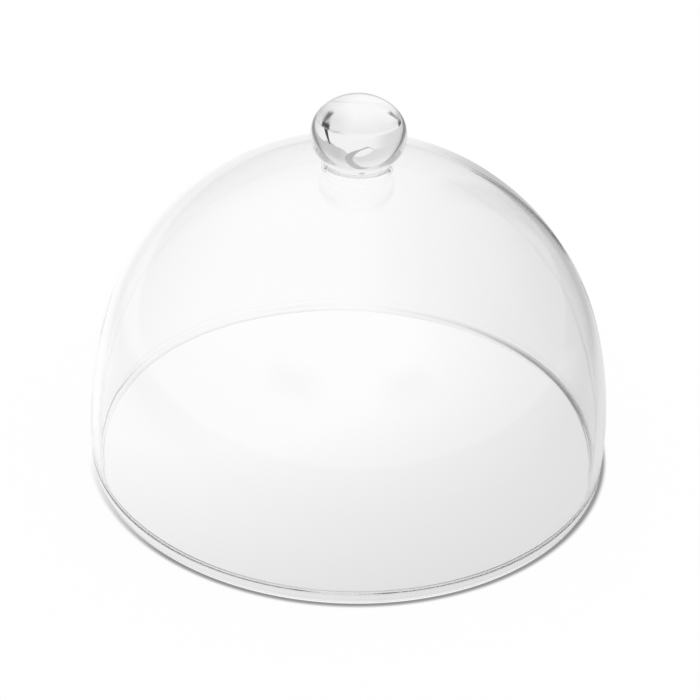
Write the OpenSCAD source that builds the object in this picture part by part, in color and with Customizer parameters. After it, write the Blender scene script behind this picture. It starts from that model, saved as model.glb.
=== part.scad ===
// Clear glass food cover: a blown dome with a fire-polished rim and a hot-applied ball knob.
// The dome stands on its rim at z = 0, and its axis is the z axis. Lengths are in millimetres.

/* [Dome] */
// Outside diameter of the straight skirt
dome_d = 260; // [220:1:320]
// Height of the straight skirt above the surface that the rim stands on
skirt_h = 16.5; // [10:0.5:40]
// Radius of the flat arc that leads from the skirt up to the crown
side_r = 210; // [170:1:320]
// Angle above level at which the side arc hands over to the round crown
side_angle = 14; // [8:1:30]
// Thickness of the blown wall
wall = 4; // [2.5:0.1:6]

/* [Rim] */
// How far the bead round the mouth stands proud of the wall inside
bead_proud = 1.6; // [0.8:0.1:3]
// Radius of the hollow that runs from the bead into the wall
bead_hollow_r = 6; // [2:0.5:10]
// Width of the flat that is ground on the bead to stand on
foot_w = 2; // [1:0.1:3]

/* [Knob] */
// Diameter of the knob at its widest
knob_d = 46; // [38:0.5:60]
// Radius of the arc round the widest part of the knob
knob_side_r = 15.8; // [12:0.1:18.5]
// Angle above and below level at which that arc hands over to the flatter caps
knob_angle = 45; // [35:1:50]
// Diameter of the neck at its narrowest
neck_d = 30.8; // [24:0.2:34]
// Radius of the throat between the knob and the crown
throat_r = 2.2; // [1.5:0.1:4]

/* [Hidden] */
$fn = 128;

// Cuts run past the material by this much
overrun = 1;
// Arcs that run smoothly into each other cross by this much
lap = 0.01;
// A sector's straight-sided mask reaches this many radii, so that it clears the arc
sector_reach_share = 2;
dome_r = dome_d / 2;
crown_r = cap_r(dome_r, side_r, side_angle);
crown_z = skirt_h + cap_z(dome_r, side_r, side_angle);
bead_r = (wall + bead_proud) / 2;
bead_z = sqrt(pow(bead_r, 2) - pow(foot_w / 2, 2));
bead_at = [dome_r - bead_r, bead_z];
hollow_at = [
    dome_r - wall - bead_hollow_r + lap,
    bead_z + leg(bead_r + bead_hollow_r, wall + bead_hollow_r - bead_r)
];
knob_cap_r = cap_r(knob_d / 2, knob_side_r, knob_angle);
throat_at = [
    neck_d / 2 + throat_r,
    crown_z + leg(crown_r + throat_r, neck_d / 2 + throat_r)
];
under_z = throat_at[1] + leg(knob_cap_r + throat_r, throat_at[0]);
knob_z = under_z + cap_z(knob_d / 2, knob_side_r, knob_angle);

// Radius of the cap arc that meets a side arc smoothly and has its centre on the axis
function cap_r(r, side, angle) = side + (r - side) / cos(angle);

// Height of that cap arc's centre above the line where the side arc starts
function cap_z(r, side, angle) = (side - cap_r(r, side, angle)) * sin(angle);

// The other short side of a right-angled triangle
function leg(long, short) = sqrt(pow(long, 2) - pow(short, 2));

// Slice of a disc about the origin, between two angles
module sector(r, from, to) {
    reach = sector_reach_share * r;
    intersection() {
        circle(r);
        polygon([[0, 0], for (a = [from, (from + to) / 2, to]) reach * [cos(a), sin(a)]]);
    }
}

// Half section of a round-shouldered form: a side arc that rises upright, then a cap arc to the axis.
// The arc with the smaller radius runs on inside the other one, so that the two always cross.
module arch(r, side, angle) {
    cap = cap_r(r, side, angle);
    rise = cap_z(r, side, angle);
    tight_side = side < r;
    intersection() {
        square([r + overrun, rise + cap + overrun]);
        union() {
            translate([r - side, 0]) sector(side + (tight_side ? lap : 0), 0, tight_side ? 90 : angle);
            translate([0, rise]) sector(cap + (tight_side ? 0 : lap), tight_side ? angle : 0, 90);
        }
    }
}

// Half section of the dome, filled to the axis, set in from the outside by a given thickness
module dome_fill(inset, bottom) {
    r = dome_r - inset;
    translate([0, skirt_h]) arch(r, side_r - inset, side_angle);
    translate([0, bottom]) square([r, skirt_h - bottom]);
}

// Half section of the space inside: the even wall above, then the hollow that leads out to the bead
module dome_space() {
    dome_fill(wall, hollow_at[1]);
    translate(hollow_at) circle(bead_hollow_r);
    polygon([
        [0, bead_z - overrun],
        [bead_at[0], bead_z - overrun],
        bead_at,
        hollow_at,
        [hollow_at[0], hollow_at[1] + overrun],
        [0, hollow_at[1] + overrun]
    ]);
}

// Half section of the fire-polished bead, with the flat that is ground on it
module rim_bead() {
    difference() {
        translate(bead_at) circle(bead_r);
        translate([0, -bead_r]) square([dome_r + overrun, bead_r]);
    }
}

// Blown dome: an even wall that ends in the bead
module dome_shell() {
    color([0.9, 0.92, 0.92, 0.35])
    rotate_extrude()
    union() {
        difference() {
            dome_fill(0, bead_z);
            dome_space();
        }
        rim_bead();
    }
}

// Solid knob: flattened ball, neck drawn in by the throat, and a foot that takes the crown's curve
module ball_knob() {
    color([0.94, 0.95, 0.95, 0.35])
    rotate_extrude()
    difference() {
        union() {
            translate([0, knob_z]) {
                arch(knob_d / 2, knob_side_r, knob_angle);
                mirror([0, 1]) arch(knob_d / 2, knob_side_r, knob_angle);
            }
            polygon([[0, crown_z], throat_at, [0, under_z]]);
        }
        translate(throat_at) circle(throat_r + lap);
        translate([0, crown_z]) circle(crown_r + lap);
    }
}

dome_shell();
ball_knob();
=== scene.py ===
# Clear blown-glass food cover with a solid ball knob, standing on a pale studio table.
# Lengths are in metres, and the frame's z axis is the dome's own axis.
import math

import bpy
from mathutils import Matrix, Vector


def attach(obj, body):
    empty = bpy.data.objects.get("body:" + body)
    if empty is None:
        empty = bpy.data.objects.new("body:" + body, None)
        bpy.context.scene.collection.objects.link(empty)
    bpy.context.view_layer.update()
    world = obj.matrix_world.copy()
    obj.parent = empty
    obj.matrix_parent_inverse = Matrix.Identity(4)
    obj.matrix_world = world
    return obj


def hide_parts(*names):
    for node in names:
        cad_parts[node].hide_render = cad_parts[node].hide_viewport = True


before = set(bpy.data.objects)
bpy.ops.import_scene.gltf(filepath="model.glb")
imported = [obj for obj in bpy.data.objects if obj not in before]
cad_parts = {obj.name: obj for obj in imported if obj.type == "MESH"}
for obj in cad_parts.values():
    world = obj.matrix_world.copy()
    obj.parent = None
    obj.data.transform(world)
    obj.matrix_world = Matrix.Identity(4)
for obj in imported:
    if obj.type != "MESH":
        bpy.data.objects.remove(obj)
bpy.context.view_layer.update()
scene = bpy.context.scene

MM = 0.001

# Dome, from the skirt up to the crown. Angles are in degrees
dome_r = 130 * MM
skirt_h = 16.5 * MM
side_r = 210 * MM
side_angle = 14
wall = 4 * MM
# Bead round the mouth
bead_proud = 1.6 * MM
bead_hollow_r = 6 * MM
foot_w = 2 * MM
# Knob
knob_r = 23 * MM
knob_side_r = 15.8 * MM
knob_angle = 45
neck_r = 15.4 * MM
throat_r = 2.2 * MM
# The knob's fused foot is sunk this far into the crown, so that no air is left in the joint
fused_depth = 0.2 * MM
# Steps of both profiles across the fused joint
seam_steps = 10
# Rows of each profile in the joint. The knob's are the seat's own, and the last one of the throat
crown_rows = seam_steps + 1
seat_rows = crown_rows + 1
# Steps along the other stretches of the profiles
crown_steps = 70
side_steps = 20
foot_steps = 10
bead_steps = 14
hollow_steps = 10
cap_steps = 30
ball_steps = 40
under_steps = 8
throat_steps = 18
# Steps round the axis
dome_steps = 256
knob_steps = 192
# Points of a turned mesh that lie closer than this are one point
weld_gap = 0.001 * MM
# Hot glass wanders this far from the true form, over about this length
wave_height = 0.08 * MM
wave_length = 60 * MM
wave_seed = 3
wave_detail = 1
noise_middle = 0.5
# Cords, the faint streaks that run down blown glass and lie every way in a gathered ball
cord_height = 0.012 * MM
cord_detail = 2
# How wide and how long the cords are
dome_cord = (25 * MM, 70 * MM)
knob_cord = (12 * MM, 12 * MM)
# The foot is ground flat up to here
ground_h = 0.05 * MM
ground_roughness = 0.35
glass_ior = 1.52
glass_colour = "fdfdfd"


def cap_radius(r, side, angle):
    """Radius of the cap that runs on from a side arc at an angle."""
    return side + (r - side) / math.cos(math.radians(angle))


def cap_height(r, side, angle):
    """How far the centre of that cap lies above the centre of the side arc."""
    return (side - cap_radius(r, side, angle)) * math.sin(math.radians(angle))


def leg(long, short):
    """The other short side of a right-angled triangle."""
    return math.sqrt(long ** 2 - short ** 2)


def angle_to(start, end):
    """Angle above level from one point to another, in degrees."""
    return math.degrees(math.atan2(end[1] - start[1], end[0] - start[0]))


crown_r = cap_radius(dome_r, side_r, side_angle)
crown_at = (0, skirt_h + cap_height(dome_r, side_r, side_angle))
side_at = (dome_r - side_r, skirt_h)
bead_r = (wall + bead_proud) / 2
bead_at = (dome_r - bead_r, leg(bead_r, foot_w / 2))
hollow_at = (
    dome_r - wall - bead_hollow_r,
    bead_at[1] + leg(bead_r + bead_hollow_r, wall + bead_hollow_r - bead_r),
)
knob_cap_r = cap_radius(knob_r, knob_side_r, knob_angle)
knob_cap_z = cap_height(knob_r, knob_side_r, knob_angle)
throat_at = (neck_r + throat_r, crown_at[1] + leg(crown_r + throat_r, neck_r + throat_r))
under_at = (0, throat_at[1] + leg(knob_cap_r + throat_r, throat_at[0]))
knob_z = under_at[1] + knob_cap_z
meet_crown = angle_to(crown_at, throat_at)


def arc(centre, radius, start, end, steps):
    """Points (r, z) along an arc, angles in degrees from level."""
    points = []
    for k in range(steps + 1):
        a = math.radians(start + (end - start) * k / steps)
        points.append((centre[0] + radius * math.cos(a), centre[1] + radius * math.sin(a)))
    return points


def dome_profile():
    """From the top of the crown down the outside, across the foot, and up the inside."""
    foot_angle = math.degrees(math.acos(foot_w / 2 / bead_r))
    meet = angle_to(bead_at, hollow_at)
    points = arc(crown_at, crown_r, 90, meet_crown, seam_steps)
    points += arc(crown_at, crown_r, meet_crown, side_angle, crown_steps)[1:]
    points += arc(side_at, side_r, side_angle, 0, side_steps)[1:]
    points += arc(bead_at, bead_r, 0, -foot_angle, foot_steps)
    points += arc(bead_at, bead_r, -180 + foot_angle, meet - 360, bead_steps)
    points += arc(hollow_at, bead_hollow_r, meet - 180, 0, hollow_steps)[1:]
    points += arc(side_at, side_r - wall, 0, side_angle, side_steps)
    points += arc(crown_at, crown_r - wall, side_angle, 90, crown_steps + seam_steps)[1:]
    return points


def knob_profile():
    """From the top of the knob down to the throat, then in along the seat."""
    meet_ball = angle_to(under_at, throat_at)
    points = arc((0, knob_z + knob_cap_z), knob_cap_r, 90, knob_angle, cap_steps)
    points += arc((knob_r - knob_side_r, knob_z), knob_side_r, knob_angle, -knob_angle, ball_steps)[1:]
    points += arc(under_at, knob_cap_r, -knob_angle, meet_ball, under_steps)[1:]
    points += arc(throat_at, throat_r, meet_ball + 180, meet_crown + 180, throat_steps)[1:]
    points += arc(crown_at, crown_r - fused_depth, meet_crown, 90, seam_steps)
    return points


def linear(hex_colour):
    """sRGB hex to linear RGBA."""
    out = []
    for k in (0, 2, 4):
        c = int(hex_colour[k:k + 2], 16) / 255
        out.append(c / 12.92 if c <= 0.04045 else ((c + 0.055) / 1.055) ** 2.4)
    return (*out, 1.0)


white = linear("ffffff")
# Kinds of node and settings that come up often
MATH = "ShaderNodeMath"
VECTOR = "ShaderNodeVectorMath"
RANGE = "ShaderNodeMapRange"
MIX = "ShaderNodeMix"
TIMES = {"operation": "MULTIPLY"}
SMOOTH = {"interpolation_type": "SMOOTHSTEP"}


def add_node(tree, kind, inputs=(), out=0, **settings):
    """Adds a node with its settings and links, and gives one of its outputs, or all of them for None.

    Inputs come by name or number, or as a plain row in the order of the node's sockets.
    """
    node = tree.nodes.new(kind)
    for key, value in settings.items():
        setattr(node, key, value)
    for key, value in inputs.items() if isinstance(inputs, dict) else enumerate(inputs):
        if isinstance(value, bpy.types.NodeSocket):
            tree.links.new(value, node.inputs[key])
        else:
            node.inputs[key].default_value = value
    return node.outputs if out is None else node.outputs[out]


def lathe_tree():
    """Turns a profile about the z axis, lets the hot glass wander, and clears the fused joint."""
    tree = bpy.data.node_groups.new("turned_glass", "GeometryNodeTree")
    for name, kind in (
        ("Profile", "NodeSocketGeometry"),
        ("Steps round", "NodeSocketInt"),
        ("Wave height", "NodeSocketFloat"),
        ("Wave length", "NodeSocketFloat"),
        ("Seed", "NodeSocketInt"),
        ("Glass", "NodeSocketMaterial"),
        ("Joint", "NodeSocketMaterial"),
    ):
        tree.interface.new_socket(name, in_out="INPUT", socket_type=kind)
    tree.interface.new_socket("Piece", in_out="OUTPUT", socket_type="NodeSocketGeometry")
    given = add_node(tree, "NodeGroupInput", out=None)
    profile = given["Profile"]
    rows = add_node(
        tree, "GeometryNodeAttributeDomainSize", {"Geometry": profile}, "Point Count", component="MESH"
    )
    # A grid with one row for each profile point, and one column for each step round and one to close
    columns = add_node(tree, MATH, (given["Steps round"], 1), operation="ADD")
    grid = add_node(tree, "GeometryNodeMeshGrid", {"Vertices X": columns, "Vertices Y": rows})
    index = add_node(tree, "GeometryNodeInputIndex")
    row = add_node(tree, MATH, (index, rows), operation="MODULO")
    column = add_node(tree, MATH, (index, rows), operation="DIVIDE")
    column = add_node(tree, MATH, (column,), operation="FLOOR")
    turn = add_node(tree, MATH, (column, given["Steps round"]), operation="DIVIDE")
    angle = add_node(tree, MATH, (turn, math.tau), **TIMES)
    place = add_node(tree, "GeometryNodeInputPosition")
    marked = add_node(tree, "GeometryNodeInputNamedAttribute", {"Name": "fused"}, data_type="BOOLEAN")
    point = add_node(
        tree,
        "GeometryNodeSampleIndex",
        {"Geometry": profile, "Value": place, "Index": row},
        data_type="FLOAT_VECTOR",
    )
    fused = add_node(
        tree,
        "GeometryNodeSampleIndex",
        {"Geometry": profile, "Value": marked, "Index": row},
        data_type="BOOLEAN",
    )
    turned = add_node(
        tree, "ShaderNodeVectorRotate", {"Vector": point, "Angle": angle}, rotation_type="Z_AXIS"
    )
    noted = add_node(
        tree,
        "GeometryNodeStoreNamedAttribute",
        {"Geometry": grid, "Name": "fused", "Value": fused},
        data_type="BOOLEAN",
        domain="POINT",
    )
    spun = add_node(tree, "GeometryNodeSetPosition", {"Geometry": noted, "Position": turned})
    outward = add_node(tree, "GeometryNodeFlipFaces", {"Mesh": spun})
    closed = add_node(tree, "GeometryNodeMergeByDistance", {"Geometry": outward, "Distance": weld_gap})
    # The wander
    scale = add_node(tree, MATH, (1, given["Wave length"]), operation="DIVIDE")
    noise = add_node(
        tree,
        "ShaderNodeTexNoise",
        {"Vector": place, "W": given["Seed"], "Scale": scale, "Detail": wave_detail},
        noise_dimensions="4D",
    )
    swing = add_node(tree, MATH, (noise, noise_middle), operation="SUBTRACT")
    swing = add_node(tree, MATH, (swing, given["Wave height"]), **TIMES)
    normal = add_node(tree, "GeometryNodeInputNormal")
    shift = add_node(tree, VECTOR, {0: normal, "Scale": swing}, operation="SCALE")
    waved = add_node(tree, "GeometryNodeSetPosition", {"Geometry": closed, "Offset": shift})
    smooth = add_node(tree, "GeometryNodeSetShadeSmooth", {"Geometry": waved})
    real = add_node(tree, "GeometryNodeRealizeInstances", {"Geometry": smooth})
    dressed = add_node(tree, "GeometryNodeSetMaterial", {"Geometry": real, "Material": given["Glass"]})
    joined = add_node(
        tree,
        "GeometryNodeSetMaterial",
        {"Geometry": dressed, "Selection": marked, "Material": given["Joint"]},
    )
    add_node(tree, "NodeGroupOutput", {"Piece": joined}, out=None)
    return tree


def turn_piece(name, profile, fused_rows, lathe, sizes):
    """A finished piece from its profile, the rows of it that are fused, and the lathe's inputs."""
    mesh = bpy.data.meshes.new(name + "_profile")
    mesh.from_pydata([(r, 0, z) for r, z in profile], [], [])
    fused = mesh.attributes.new("fused", "BOOLEAN", "POINT")
    for row in fused_rows:
        fused.data[row].value = True
    piece = bpy.data.objects.new(name, mesh)
    scene.collection.objects.link(piece)
    turning = piece.modifiers.new("turning", "NODES")
    turning.node_group = lathe
    for item in lathe.interface.items_tree:
        if item.name in sizes:
            turning[item.identifier] = sizes[item.name]
    seen = piece.evaluated_get(bpy.context.evaluated_depsgraph_get())
    piece.data = bpy.data.meshes.new_from_object(seen)
    piece.data.name = name
    piece.modifiers.clear()
    return piece


def new_material(name):
    """A material and its empty tree."""
    material = bpy.data.materials.new(name)
    material.use_nodes = True
    material.node_tree.nodes.clear()
    return material, material.node_tree


def soda_lime_glass(name, cord):
    """Fire-polished soda-lime glass: clear and bright, with faint cords and a satin ground foot."""
    material, tree = new_material(name)
    spot = add_node(tree, "ShaderNodeTexCoord", out="Object")
    width, length = cord
    scale = (1 / width, 1 / width, 1 / length)
    grain = add_node(tree, "ShaderNodeMapping", {"Vector": spot, "Scale": scale})
    cords = add_node(tree, "ShaderNodeTexNoise", {"Vector": grain, "Scale": 1, "Detail": cord_detail})
    ripple = add_node(tree, "ShaderNodeBump", {"Height": cords, "Distance": cord_height, "Strength": 1})
    height = add_node(tree, "ShaderNodeSeparateXYZ", (spot,), out="Z")
    ground = add_node(tree, MATH, (height, ground_h), operation="LESS_THAN")
    satin = add_node(tree, MATH, (ground, ground_roughness), **TIMES)
    glass = add_node(tree, "ShaderNodeBsdfPrincipled", {
        "Base Color": linear(glass_colour),
        "Roughness": satin,
        "IOR": glass_ior,
        "Transmission Weight": 1,
        "Normal": ripple,
    })
    add_node(tree, "ShaderNodeOutputMaterial", {"Surface": glass}, out=None)
    return material


def fused_glass():
    """Inside of the joint, where the two glasses have run together and light passes straight on."""
    material, tree = new_material("fused_soda_lime_glass")
    clear = add_node(tree, "ShaderNodeBsdfPrincipled", {"Base Color": white, "Alpha": 0})
    add_node(tree, "ShaderNodeOutputMaterial", {"Surface": clear}, out=None)
    return material


# Camera, at the photograph's height and lean in degrees
view_distance = 1.3
view_height = 33.6
view_lean = 2.09
look_at = Vector((-0.35 * MM, 0, 57.2 * MM))
# Width of the film in millimetres, and the photograph's width and lens in pixels
film_w = 36
photo_w = 700
photo_lens = 2606
camera_data = bpy.data.cameras.new("camera")
camera_data.sensor_width = film_w
camera_data.lens = photo_lens / photo_w * film_w
camera = bpy.data.objects.new("camera", camera_data)
scene.collection.objects.link(camera)
aim = Matrix.Rotation(math.radians(90 - view_height), 4, "X")
aim = aim @ Matrix.Rotation(math.radians(view_lean), 4, "Z")
camera.matrix_world = Matrix.Translation(look_at) @ aim @ Matrix.Translation((0, 0, view_distance))
scene.camera = camera

# Glass pieces
lathe = lathe_tree()
dome_glass = soda_lime_glass("blown_soda_lime_glass", dome_cord)
knob_glass = soda_lime_glass("gathered_soda_lime_glass", knob_cord)
shared = {
    "Wave height": wave_height,
    "Wave length": wave_length,
    "Seed": wave_seed,
    "Joint": fused_glass(),
}
dome = turn_piece(
    "dome",
    dome_profile(),
    range(crown_rows),
    lathe,
    {"Steps round": dome_steps, "Glass": dome_glass, **shared},
)
knob_rows = knob_profile()
knob = turn_piece(
    "knob",
    knob_rows,
    range(len(knob_rows) - seat_rows, len(knob_rows)),
    lathe,
    {"Steps round": knob_steps, "Glass": knob_glass, **shared},
)

# Studio. Glass shows little but what stands round it, so the table and the sky hold painted soft greys
# and painted dark patches and strips, which only the rays that the glass bends see. The camera sees a
# white table.
table_reach = 1.5
table_drop = 0.05 * MM
# Share of the table's white that the camera always gets, the rest being what light falls on it
white_share = 0.96
# A pool of light painted on the table, that lies behind and left of the axis and runs off to the back
pool_at = (-0.08, 0.1, 0)
pool_span = (0.11, 0.37)
pool_rim = 0.55
# For rays that run straight on through both walls it is narrower by this
pool_loss = 0.03
# The table further back
behind_span = (0, 0.3)
far_span = (0.25, 0.55)
far_light = 0.9
# The table to the front and far out, for rays that run straight on
open_span = (-0.06, 0)
open_reach = (0.26, 0.4)
open_light = 0.94
# Shadow painted on the table under the foot, which falls to the front and right
shadow_way = (0.707, -0.707, 0)
shadow_w = 2.8 * MM
shadow_share = 0.72
# Measured along that way from the axis, it starts at the first of these places and is full at the second
lee_span = (-80 * MM, 10 * MM)
# Painted shade on the table in front of this line, which draws the knob's grey outline
outline_shade_span = (0.035, 0.06)
outline_shade_tone = 0.4
# Faces that a ray crosses straight through both walls, and through the knob alone
both_walls = 4
knob_alone = 2
# Counts of faces are told apart halfway between them
halfway = 0.5
# Headings are in degrees from straight behind, clockwise from above.
# Dark strips painted on the table, which only glass rays see: the rays that see them, where they start,
# their heading and half width
strips = (
    ("deep", (0.125, 0.19, 0), 44, 22 * MM),
    ("deep", (-0.135, 0.16, 0), -67, 22 * MM),
    ("once", (0.165, 0.195, 0), 24.5, 24 * MM),
    ("edge", (0.165, 0.25, 0), 12, 14 * MM),
)
strip_soft = 4 * MM
# Painted greys and dark patches all round, on the table and in the sky, for glass rays alone: the rays
# that see them, headings and their softness, where they start on the table, heights in the sky and their
# softness, and light
painted_patches = (
    ("once", (-75, -18), 10, (0.25, 0.55), (-1, 0.5), 0.2, 0.72),
    ("once", (22, 33), 3, (0.9, 1.5), (-1, 0.5), 0.2, 0.42),
    ("edge", (12, 70), 8, (0.2, 0.3), (-1, 0.3), 0.2, 0.55),
    ("knob", (28, 42), 1.5, (0.55, 0.7), (-1, 0.4), 0.03, 0),
    ("knob", (-64, -49), 1.5, (0.55, 0.7), (-1, 0.4), 0.03, 0),
)
# Sky, with heights from 0 at level to 1 straight up, and its light low down
sky_span = (0, 0.75)
sky_low = 0.72
knob_sky_low = 0.86
# Dark bands painted in the sky far off to both sides of the camera, which only light out of the glass
# meets
painted_band_headings = (138, 163)
painted_band_side_soft = 8
painted_band_heights = (0.42, 0.6)
painted_band_end_soft = 0.08
painted_band_light = 0.1
# A card painted grey that stands behind the dome, cut to a crescent between two ovals that lean over,
# which paints a grey crescent into the knob. Places and half sizes are across and up
card_back = 450 * MM
card_light = 0.45
outer_at = (-33 * MM, 239 * MM)
outer_size = (123 * MM, 176 * MM)
outer_lean = 8
inner_at = (-67 * MM, 226 * MM)
inner_size = (92 * MM, 162 * MM)
inner_lean = 20
card_sweep = (-150, 108)
card_steps = 48
# Light runs a long way inside the wall before it comes out again
glass_bounces = 32


def soft_band(tree, value, low, high, soft):
    """1 inside a band of values and 0 outside, with soft edges."""
    middle = (low + high) / 2
    reach = (high - low) / 2
    off = add_node(tree, MATH, (value, middle), operation="SUBTRACT")
    off = add_node(tree, MATH, (off,), operation="ABSOLUTE")
    return add_node(tree, RANGE, (off, reach - soft, reach + soft, 1, 0), **SMOOTH)


def heading(tree, vector):
    """Angle round the axis in radians, from straight behind and clockwise from above."""
    axes = add_node(tree, "ShaderNodeSeparateXYZ", (vector,), out=None)
    return add_node(tree, MATH, (axes["X"], axes["Y"]), operation="ARCTAN2")


def ray_kinds(tree, path):
    """Sorts rays by the faces that they have met on their way.

    Glassy rays come from any glass. Straight ones have crossed as many faces as both walls have, and
    deep ones more. Once is a ray that has met just two faces, as on its way through the knob alone, and
    edge is any other that has crossed fewer than both walls. Knob rays have crossed as many as both
    walls or more, or two fewer if the last face threw them back.
    """
    glassy = add_node(
        tree, MATH, (path["Is Glossy Ray"], path["Is Transmission Ray"]), operation="MAXIMUM"
    )
    crossed = path["Transmission Depth"]
    deep = add_node(tree, MATH, (crossed, both_walls + halfway), operation="GREATER_THAN")
    once = add_node(tree, MATH, (path["Ray Depth"], knob_alone, halfway), operation="COMPARE")
    few = add_node(tree, MATH, (crossed, both_walls - halfway), operation="LESS_THAN")
    edge = add_node(tree, MATH, (few, once), operation="SUBTRACT", use_clamp=True)
    bounced = add_node(tree, MATH, (1, path["Is Transmission Ray"]), operation="SUBTRACT")
    knob = add_node(tree, MATH, (bounced, knob_alone, crossed), operation="MULTIPLY_ADD")
    knob = add_node(tree, MATH, (knob, both_walls - halfway), operation="GREATER_THAN")
    straight = add_node(tree, MATH, (crossed, both_walls, halfway), operation="COMPARE")
    return {
        "glassy": glassy,
        "straight": straight,
        "deep": deep,
        "once": once,
        "edge": edge,
        "knob": knob,
    }


def strip_cover(tree, spot, start, way, half_w):
    """1 on a strip of the table that starts at a point and runs off at a heading."""
    s = math.sin(math.radians(way))
    c = math.cos(math.radians(way))
    away = add_node(tree, VECTOR, (spot, start), operation="SUBTRACT")
    along = add_node(tree, VECTOR, (away, (s, c, 0)), "Value", operation="DOT_PRODUCT")
    across = add_node(tree, VECTOR, (away, (c, -s, 0)), "Value", operation="DOT_PRODUCT")
    begun = add_node(tree, RANGE, (along, -half_w, half_w, 0, 1), **SMOOTH)
    return add_node(tree, MATH, (soft_band(tree, across, -half_w, half_w, strip_soft), begun), **TIMES)


def between_headings(tree, turn, headings, soft):
    """1 between two headings in degrees."""
    return soft_band(tree, turn, *[math.radians(v) for v in (*headings, soft)])


def table_light(tree, path, rays, spot):
    """What the glass sees of the table: a painted pool of light, with painted greys, dark patches and
    dark strips.
    """
    reach = add_node(tree, VECTOR, (spot,), "Value", operation="LENGTH")
    back = add_node(tree, "ShaderNodeSeparateXYZ", (spot,), out="Y")
    # Painted pool of light, and the evener painted light further back
    capped = add_node(tree, VECTOR, (spot, (table_reach, pool_at[1], table_reach)), operation="MINIMUM")
    gone = add_node(tree, VECTOR, (capped, pool_at), "Value", operation="DISTANCE")
    gone = add_node(tree, MATH, (rays["straight"], pool_loss, gone), operation="MULTIPLY_ADD")
    light = add_node(tree, RANGE, (gone, *pool_span, 1, pool_rim))
    far = add_node(tree, RANGE, (reach, *far_span, 0, 1), **SMOOTH)
    behind = add_node(tree, RANGE, (back, *behind_span, 0, 1), **SMOOTH)
    cover = add_node(tree, MATH, (far, behind), **TIMES)
    light = add_node(tree, MIX, {0: cover, 2: light, 3: far_light})
    # Seen straight through from other sides, the table all round is as pale as the back
    front = add_node(tree, RANGE, (back, *open_span, 1, 0), **SMOOTH)
    wide = add_node(tree, RANGE, (reach, *open_reach, 0, 1), **SMOOTH)
    cover = add_node(tree, MATH, (front, wide), operation="MAXIMUM")
    cover = add_node(tree, MATH, (cover, rays["straight"]), **TIMES)
    light = add_node(tree, MIX, {0: cover, 2: light, 3: open_light})
    turn = heading(tree, spot)
    # Painted greys and dark patches on the table, for the kinds of glass ray given
    for kind, headings, side_soft, near, _, _, tone in painted_patches:
        begun = add_node(tree, RANGE, (reach, *near, 0, 1), **SMOOTH)
        cover = add_node(tree, MATH, (between_headings(tree, turn, headings, side_soft), begun), **TIMES)
        cover = add_node(tree, MATH, (cover, rays[kind]), **TIMES)
        light = add_node(tree, MIX, {0: cover, 2: light, 3: tone})
    # Dark strips painted on the table, for the kinds of glass ray given
    for kind, start, way, half_w in strips:
        cover = add_node(tree, MATH, (strip_cover(tree, spot, start, way, half_w), rays[kind]), **TIMES)
        light = add_node(tree, MIX, {0: cover, 2: light, 3: 0})
    # Painted shade on the front of the table, for rays that crossed the knob too, and one wall less to a
    # spot in the dome
    within = add_node(tree, MATH, (reach, dome_r - wall), operation="LESS_THAN")
    crossed = add_node(tree, MATH, (path["Transmission Depth"], within), operation="ADD")
    by_knob = add_node(tree, MATH, (crossed, both_walls + halfway), operation="GREATER_THAN")
    front = add_node(tree, RANGE, (back, *outline_shade_span, 1, 0), **SMOOTH)
    cover = add_node(tree, MATH, (front, by_knob), **TIMES)
    return add_node(tree, MIX, {0: cover, 2: light, 3: outline_shade_tone})


def painted_foot_shadow(tree, spot):
    """Painted shadow: the share of the table's light that is taken off round the foot."""
    reach = add_node(tree, VECTOR, (spot,), "Value", operation="LENGTH")
    lee = add_node(tree, VECTOR, (spot, shadow_way), "Value", operation="DOT_PRODUCT")
    lee = add_node(tree, RANGE, (lee, *lee_span, 0, 1))
    shadow = add_node(tree, RANGE, (reach, dome_r, dome_r + shadow_w, shadow_share, 0), **SMOOTH)
    outside = add_node(tree, MATH, (reach, dome_r - foot_w / 2), operation="GREATER_THAN")
    shadow = add_node(tree, MATH, (shadow, outside), **TIMES)
    return add_node(tree, MATH, (shadow, lee), **TIMES)


def matt_board():
    """Matt white laminate board. The camera sees it white with a painted shadow round the foot, and the
    glass sees a painted pool of light on it.
    """
    material, tree = new_material("matt_white_laminate")
    path = add_node(tree, "ShaderNodeLightPath", out=None)
    rays = ray_kinds(tree, path)
    seen = path["Is Camera Ray"]
    spot = add_node(tree, "ShaderNodeTexCoord", out="Object")
    light = add_node(tree, MATH, (table_light(tree, path, rays, spot), seen), operation="MAXIMUM")
    # Painted shadow round the foot
    light = add_node(tree, MIX, {0: painted_foot_shadow(tree, spot), 2: light, 3: 0})
    glow = add_node(tree, "ShaderNodeEmission", {"Color": white, "Strength": light})
    board = add_node(tree, "ShaderNodeBsdfDiffuse", {"Color": white})
    share = add_node(tree, MATH, (seen, white_share), **TIMES)
    share = add_node(tree, MATH, (share, rays["glassy"]), operation="MAXIMUM")
    blend = add_node(tree, "ShaderNodeMixShader", (share, board, glow))
    add_node(tree, "ShaderNodeOutputMaterial", {"Surface": blend}, out=None)
    return material


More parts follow.
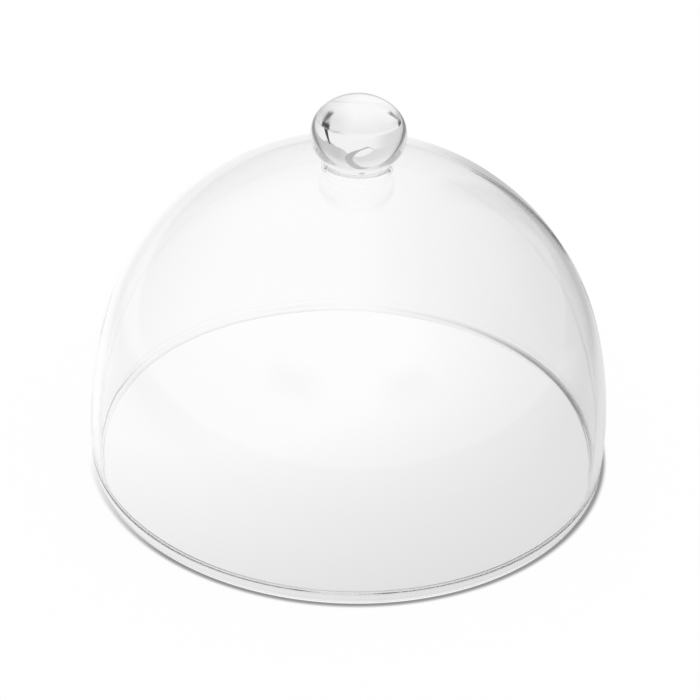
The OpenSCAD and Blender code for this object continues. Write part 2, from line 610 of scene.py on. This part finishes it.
def studio_sky():
    """Even white light, in which the glass sees painted greys low down, painted patches, and painted
    dark bands in front.
    """
    world = bpy.data.worlds.new("studio_sky")
    world.use_nodes = True
    tree = world.node_tree
    tree.nodes.clear()
    path = add_node(tree, "ShaderNodeLightPath", out=None)
    rays = ray_kinds(tree, path)
    way = add_node(tree, "ShaderNodeTexCoord", out="Generated")
    up = add_node(tree, "ShaderNodeSeparateXYZ", (way,), out="Z")
    turn = heading(tree, way)
    low = add_node(tree, MIX, {0: rays["once"], 2: sky_low, 3: knob_sky_low})
    low = add_node(tree, MIX, {0: rays["straight"], 2: low, 3: open_light})
    light = add_node(tree, RANGE, (up, *sky_span, low, 1), **SMOOTH)
    # Painted greys and dark patches in the sky, for the kinds of glass ray given
    for kind, headings, side_soft, _, heights, end_soft, tone in painted_patches:
        side = between_headings(tree, turn, headings, side_soft)
        ends = soft_band(tree, up, *heights, end_soft)
        cover = add_node(tree, MATH, (side, ends), **TIMES)
        cover = add_node(tree, MATH, (cover, rays[kind]), **TIMES)
        light = add_node(tree, MIX, {0: cover, 2: light, 3: tone})
    # Painted dark bands to both sides, which only light out of the glass meets
    either = add_node(tree, MATH, (turn,), operation="ABSOLUTE")
    side = between_headings(tree, either, painted_band_headings, painted_band_side_soft)
    ends = soft_band(tree, up, *painted_band_heights, painted_band_end_soft)
    cover = add_node(tree, MATH, (side, ends), **TIMES)
    cover = add_node(tree, MATH, (cover, path["Is Transmission Ray"]), **TIMES)
    light = add_node(tree, MIX, {0: cover, 2: light, 3: painted_band_light})
    light = add_node(tree, MIX, {0: rays["glassy"], 2: 1, 3: light})
    sky = add_node(tree, "ShaderNodeBackground", {"Color": white, "Strength": light})
    add_node(tree, "ShaderNodeOutputWorld", {"Surface": sky}, out=None)
    return world


def painted_crescent_material():
    """Painted grey crescent: a card that glows an even grey, which once rays alone see, such as those
    through the knob.
    """
    material, tree = new_material("painted_grey_crescent")
    path = add_node(tree, "ShaderNodeLightPath", out=None)
    grey = add_node(tree, "ShaderNodeEmission", {"Color": white, "Strength": card_light})
    clear = add_node(tree, "ShaderNodeBsdfTransparent")
    shown = add_node(tree, "ShaderNodeMixShader", (ray_kinds(tree, path)["once"], clear, grey))
    add_node(tree, "ShaderNodeOutputMaterial", {"Surface": shown}, out=None)
    return material


def stage_piece(name, points, faces, material):
    """A thin piece of the studio, which is no part of the cover."""
    mesh = bpy.data.meshes.new(name)
    mesh.from_pydata(points, [], faces)
    mesh.materials.append(material)
    piece = bpy.data.objects.new(name, mesh)
    scene.collection.objects.link(piece)
    return piece


def stage_table():
    corners = ((-1, -1), (1, -1), (1, 1), (-1, 1))
    points = [(x * table_reach, y * table_reach, -table_drop) for x, y in corners]
    stage_piece("table", points, [(0, 1, 2, 3)], matt_board())


def oval_point(middle, size, lean, angle):
    """Point of an upright oval behind the dome that leans over to the left."""
    across = size[0] * math.cos(angle)
    up = size[1] * math.sin(angle)
    s = math.sin(math.radians(lean))
    c = math.cos(math.radians(lean))
    return (middle[0] + across * c - up * s, card_back, middle[1] + across * s + up * c)


def stage_card():
    start, end = card_sweep
    points = []
    for k in range(card_steps + 1):
        angle = math.radians(start + (end - start) * k / card_steps)
        points.append(oval_point(outer_at, outer_size, outer_lean, angle))
        points.append(oval_point(inner_at, inner_size, inner_lean, angle))
    faces = [(k, k + 1, k + 3, k + 2) for k in range(0, 2 * card_steps, 2)]
    card = stage_piece("painted_crescent_card", points, faces, painted_crescent_material())
    card.visible_camera = False
    card.visible_diffuse = False
    card.visible_glossy = False
    card.visible_shadow = False


stage_table()
stage_card()
scene.world = studio_sky()
scene.cycles.max_bounces = glass_bounces
scene.cycles.glossy_bounces = glass_bounces
scene.cycles.transmission_bounces = glass_bounces
scene.view_settings.view_transform = "Standard"

for piece, node, slot in ((dome, "dome_shell", "dome_glass"), (knob, "ball_knob", "knob_glass")):
    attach(piece, "root")
    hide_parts(node)
